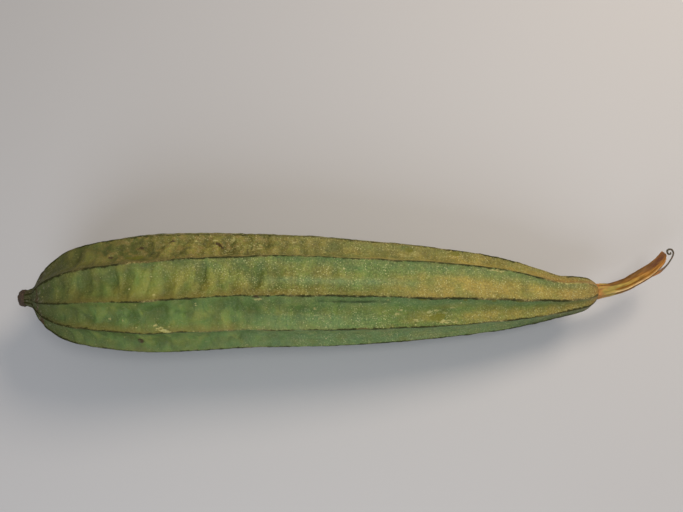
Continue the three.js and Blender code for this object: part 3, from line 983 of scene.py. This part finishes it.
stalk_tone = add(
    stalk_skin, "Mix", {"Factor": joint_share, "A": stalk_tone, "B": JOINT_ORANGE}, data_type="RGBA"
)
end_sway = add(
    stalk_skin,
    "MapRange",
    {"Value": on_stalk["strands"], "From Min": -0.4, "From Max": 0.1, "To Min": 0.4},
)
end_share = add(stalk_skin, "Math", {0: on_stalk["far_end"], 1: end_sway}, operation="MULTIPLY")
stalk_tone = add(stalk_skin, "Mix", {"Factor": end_share, "A": stalk_tone, "B": END_BROWN}, data_type="RGBA")
STRAND_SHADE = {"From Min": -0.5, "From Max": 0.5, "To Min": 0.65, "To Max": 1.15}
strand_tone = add(stalk_skin, "MapRange", {"Value": on_stalk["strands"], **STRAND_SHADE})
stalk_tone = add(
    stalk_skin,
    "Mix",
    {"Factor": 1.0, "A": stalk_tone, "B": strand_tone},
    data_type="RGBA",
    blend_type="MULTIPLY",
)
stalk_bump = add(stalk_skin, "Bump", {"Height": stalk_noise, "Strength": 1, "Distance": 0.15 * MM})
stalk_surface = add(
    stalk_skin,
    "BsdfPrincipled",
    {
        "Base Color": stalk_tone,
        "Roughness": 0.55,
        "IOR": 1.4,
        "Specular IOR Level": 0.3,
        "Normal": stalk_bump,
    },
)
add(stalk_skin, "OutputMaterial", {"Surface": stalk_surface})

stalk.data.materials.append(stalk_skin)
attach(stalk, "root")
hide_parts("stalk")


# ---------- The peeled fibre ----------
# One fibre of the stalk's near edge, torn loose with a flap of skin at its root, dried dark and curled up
# at its tip.

FIBRE_PATH = [  # [along, side, up, width, thickness] in mm
    [361.5, 9.9, 3.0, 0.9, 0.6],
    [364.0, 10.9, 3.2, 1.1, 0.8],
    [366.3, 11.9, 3.3, 1.3, 0.9],
    [368.7, 13.3, 3.4, 1.5, 0.9],
    [370.6, 14.7, 3.5, 1.3, 0.9],
    [372.8, 16.5, 3.6, 1.0, 0.9],
    [374.9, 18.7, 3.7, 0.9, 0.8],
    [376.9, 21.4, 3.8, 0.8, 0.8],
    [378.3, 24.0, 3.9, 0.9, 0.8],
    [378.4, 25.8, 4.0, 1.0, 0.9],
    [377.4, 27.0, 4.2, 1.1, 0.9],
    [375.6, 27.0, 4.4, 1.1, 0.9],
    [374.5, 25.6, 4.6, 1.1, 0.9],
    [375.2, 24.0, 4.7, 1.0, 0.9],
    [376.4, 24.3, 4.8, 0.9, 0.8],
    [376.3, 25.3, 4.9, 0.6, 0.6],
]
FIBRE_RINGS = 240
FIBRE_SIDES = 24

fibre_path = along_path(FIBRE_PATH, FIBRE_RINGS)
fibre_run = np.broadcast_to(fibre_path[-1][:, None], (FIBRE_RINGS, FIBRE_SIDES))
fibre_turn = np.linspace(0, 2 * math.pi, FIBRE_SIDES, endpoint=False) + 0 * fibre_run
fibre_grain = rough(stack(2 * np.cos(fibre_turn), 2 * np.sin(fibre_turn), fibre_run / 2), 0.8)
fibre = make_piece(
    "peeled_fibre_curl",
    tube(fibre_path, fibre_turn, 1 + 0.22 * fibre_grain),
    {"fibre_mm": fibre_run},
)

# Dry plant fibre: orange-brown skin at the flap, grey-brown and matt beyond it.
dry_fibre = start_material("dry brown plant fibre")
FLAP_ORANGE = linear("#94602a")
FIBRE_BROWN = linear("#594634")
FIBRE_GREY = linear("#3d3b2c")
fibre_mm = add(dry_fibre, "Attribute", attribute_name="fibre_mm").outputs["Fac"]
fibre_where = add(dry_fibre, "TexCoord").outputs["Object"]
fibre_noise = add(dry_fibre, "TexNoise", {"Vector": fibre_where, "Scale": 1 / (1.5 * MM), "Detail": 4})
flap_share = add(dry_fibre, "MapRange", {"Value": fibre_mm, "From Min": 12, "From Max": 7})
grey_share = add(dry_fibre, "MapRange", {"Value": fibre_noise, "From Min": 0.4, "From Max": 0.6})
fibre_tone = add(
    dry_fibre, "Mix", {"Factor": grey_share, "A": FIBRE_BROWN, "B": FIBRE_GREY}, data_type="RGBA"
)
fibre_tone = add(
    dry_fibre, "Mix", {"Factor": flap_share, "A": fibre_tone, "B": FLAP_ORANGE}, data_type="RGBA"
)
fibre_bump = add(dry_fibre, "Bump", {"Height": fibre_noise, "Strength": 1, "Distance": 0.1 * MM})
fibre_surface = add(
    dry_fibre,
    "BsdfPrincipled",
    {"Base Color": fibre_tone, "Roughness": 0.7, "Normal": fibre_bump},
)
add(dry_fibre, "OutputMaterial", {"Surface": fibre_surface})

fibre.data.materials.append(dry_fibre)
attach(fibre, "root")
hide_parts("peeled_fibre")


# ---------- The table and the light ----------
# A plain pale laminate table top, which runs into a plain backdrop far from the fruit, and three soft
# lamps: a warm key behind on the right, a cool fill in front, and a white one above.

bpy.ops.mesh.primitive_plane_add(size=6, location=(0, 0, 0))
table = bpy.context.object
table.name = "table_top"
laminate = start_material("pale matt laminate")
BACKDROP_PALE = linear("#c4c2c0")
laminate_surface = add(laminate, "BsdfPrincipled", {"Base Color": linear("#b9b8b8"), "Roughness": 0.7})


def seen_rays(material):
    """1 for the rays that show the backdrop: those from the camera, and through gloss and glass."""
    rays = add(material, "LightPath").outputs
    seen = add(material, "Math", {0: rays["Is Camera Ray"], 1: rays["Is Glossy Ray"]}, operation="MAXIMUM")
    return add(material, "Math", {0: seen, 1: rays["Is Transmission Ray"]}, operation="MAXIMUM")


# Far from the fruit the table runs into the backdrop, with no edge between them.
far_off = add(laminate, "VectorMath", {0: add(laminate, "TexCoord").outputs["Object"]}, operation="LENGTH")
far_share = add(
    laminate, "MapRange", {"Value": far_off.outputs["Value"], "From Min": 0.35, "From Max": 1.1}
)
far_share = add(laminate, "Math", {0: far_share, 1: seen_rays(laminate)}, operation="MULTIPLY")
far_glow = add(laminate, "Emission", {"Color": BACKDROP_PALE, "Strength": 1})
laminate_mix = add(laminate, "MixShader", {0: far_share, 1: laminate_surface, 2: far_glow})
add(laminate, "OutputMaterial", {"Surface": laminate_mix})
table.data.materials.append(laminate)

world = bpy.data.worlds.new("studio")
world.use_nodes = True
world.node_tree.nodes.clear()
bpy.context.scene.world = world
soft_light = add(world, "Background", {"Color": linear("#f2f2f2"), "Strength": 0.25})
backdrop = add(world, "Background", {"Color": BACKDROP_PALE, "Strength": 1})
world_mix = add(world, "MixShader", {0: seen_rays(world), 1: soft_light, 2: backdrop})
add(world, "OutputWorld", {"Surface": world_mix})

LAMPS = {
    "key_behind_right": [(0.45, 0.5, 0.7), 0.4, "#ffefdc", 5.6],
    "fill_in_front": [(-0.25, -0.75, 0.6), 0.6, "#e8f1ff", 4.4],
    "top_beside_camera": [(0.18, -0.1, 0.95), 0.3, "#ffffff", 1.8],
}
for name, (spot, size, colour, watts) in LAMPS.items():
    lamp_data = bpy.data.lights.new(name, "AREA")
    lamp_data.shape = "DISK"
    lamp_data.size = size
    lamp_data.color = linear(colour)[:3]
    lamp_data.energy = watts
    lamp = bpy.data.objects.new(name, lamp_data)
    lamp.location = spot
    lamp.rotation_euler = (-Vector(spot)).to_track_quat("-Z", "Y").to_euler()
    bpy.context.scene.collection.objects.link(lamp)

# The camera looks down at the fruit from the near side, 75 degrees above the table.
ELEVATION = math.radians(75)
AIM = Vector((cad_low.x + 0.1849, 0.0220, 0.032))
DISTANCE = 0.431
camera_data = bpy.data.cameras.new("camera")
camera_data.sensor_width = 36
camera_data.angle = math.radians(50)
camera = bpy.data.objects.new("camera", camera_data)
camera.location = AIM + DISTANCE * Vector((0, -math.cos(ELEVATION), math.sin(ELEVATION)))
camera.rotation_euler = (math.pi / 2 - ELEVATION, 0, 0)
bpy.context.scene.collection.objects.link(camera)
bpy.context.scene.camera = camera
bpy.context.scene.view_settings.view_transform = "Standard"
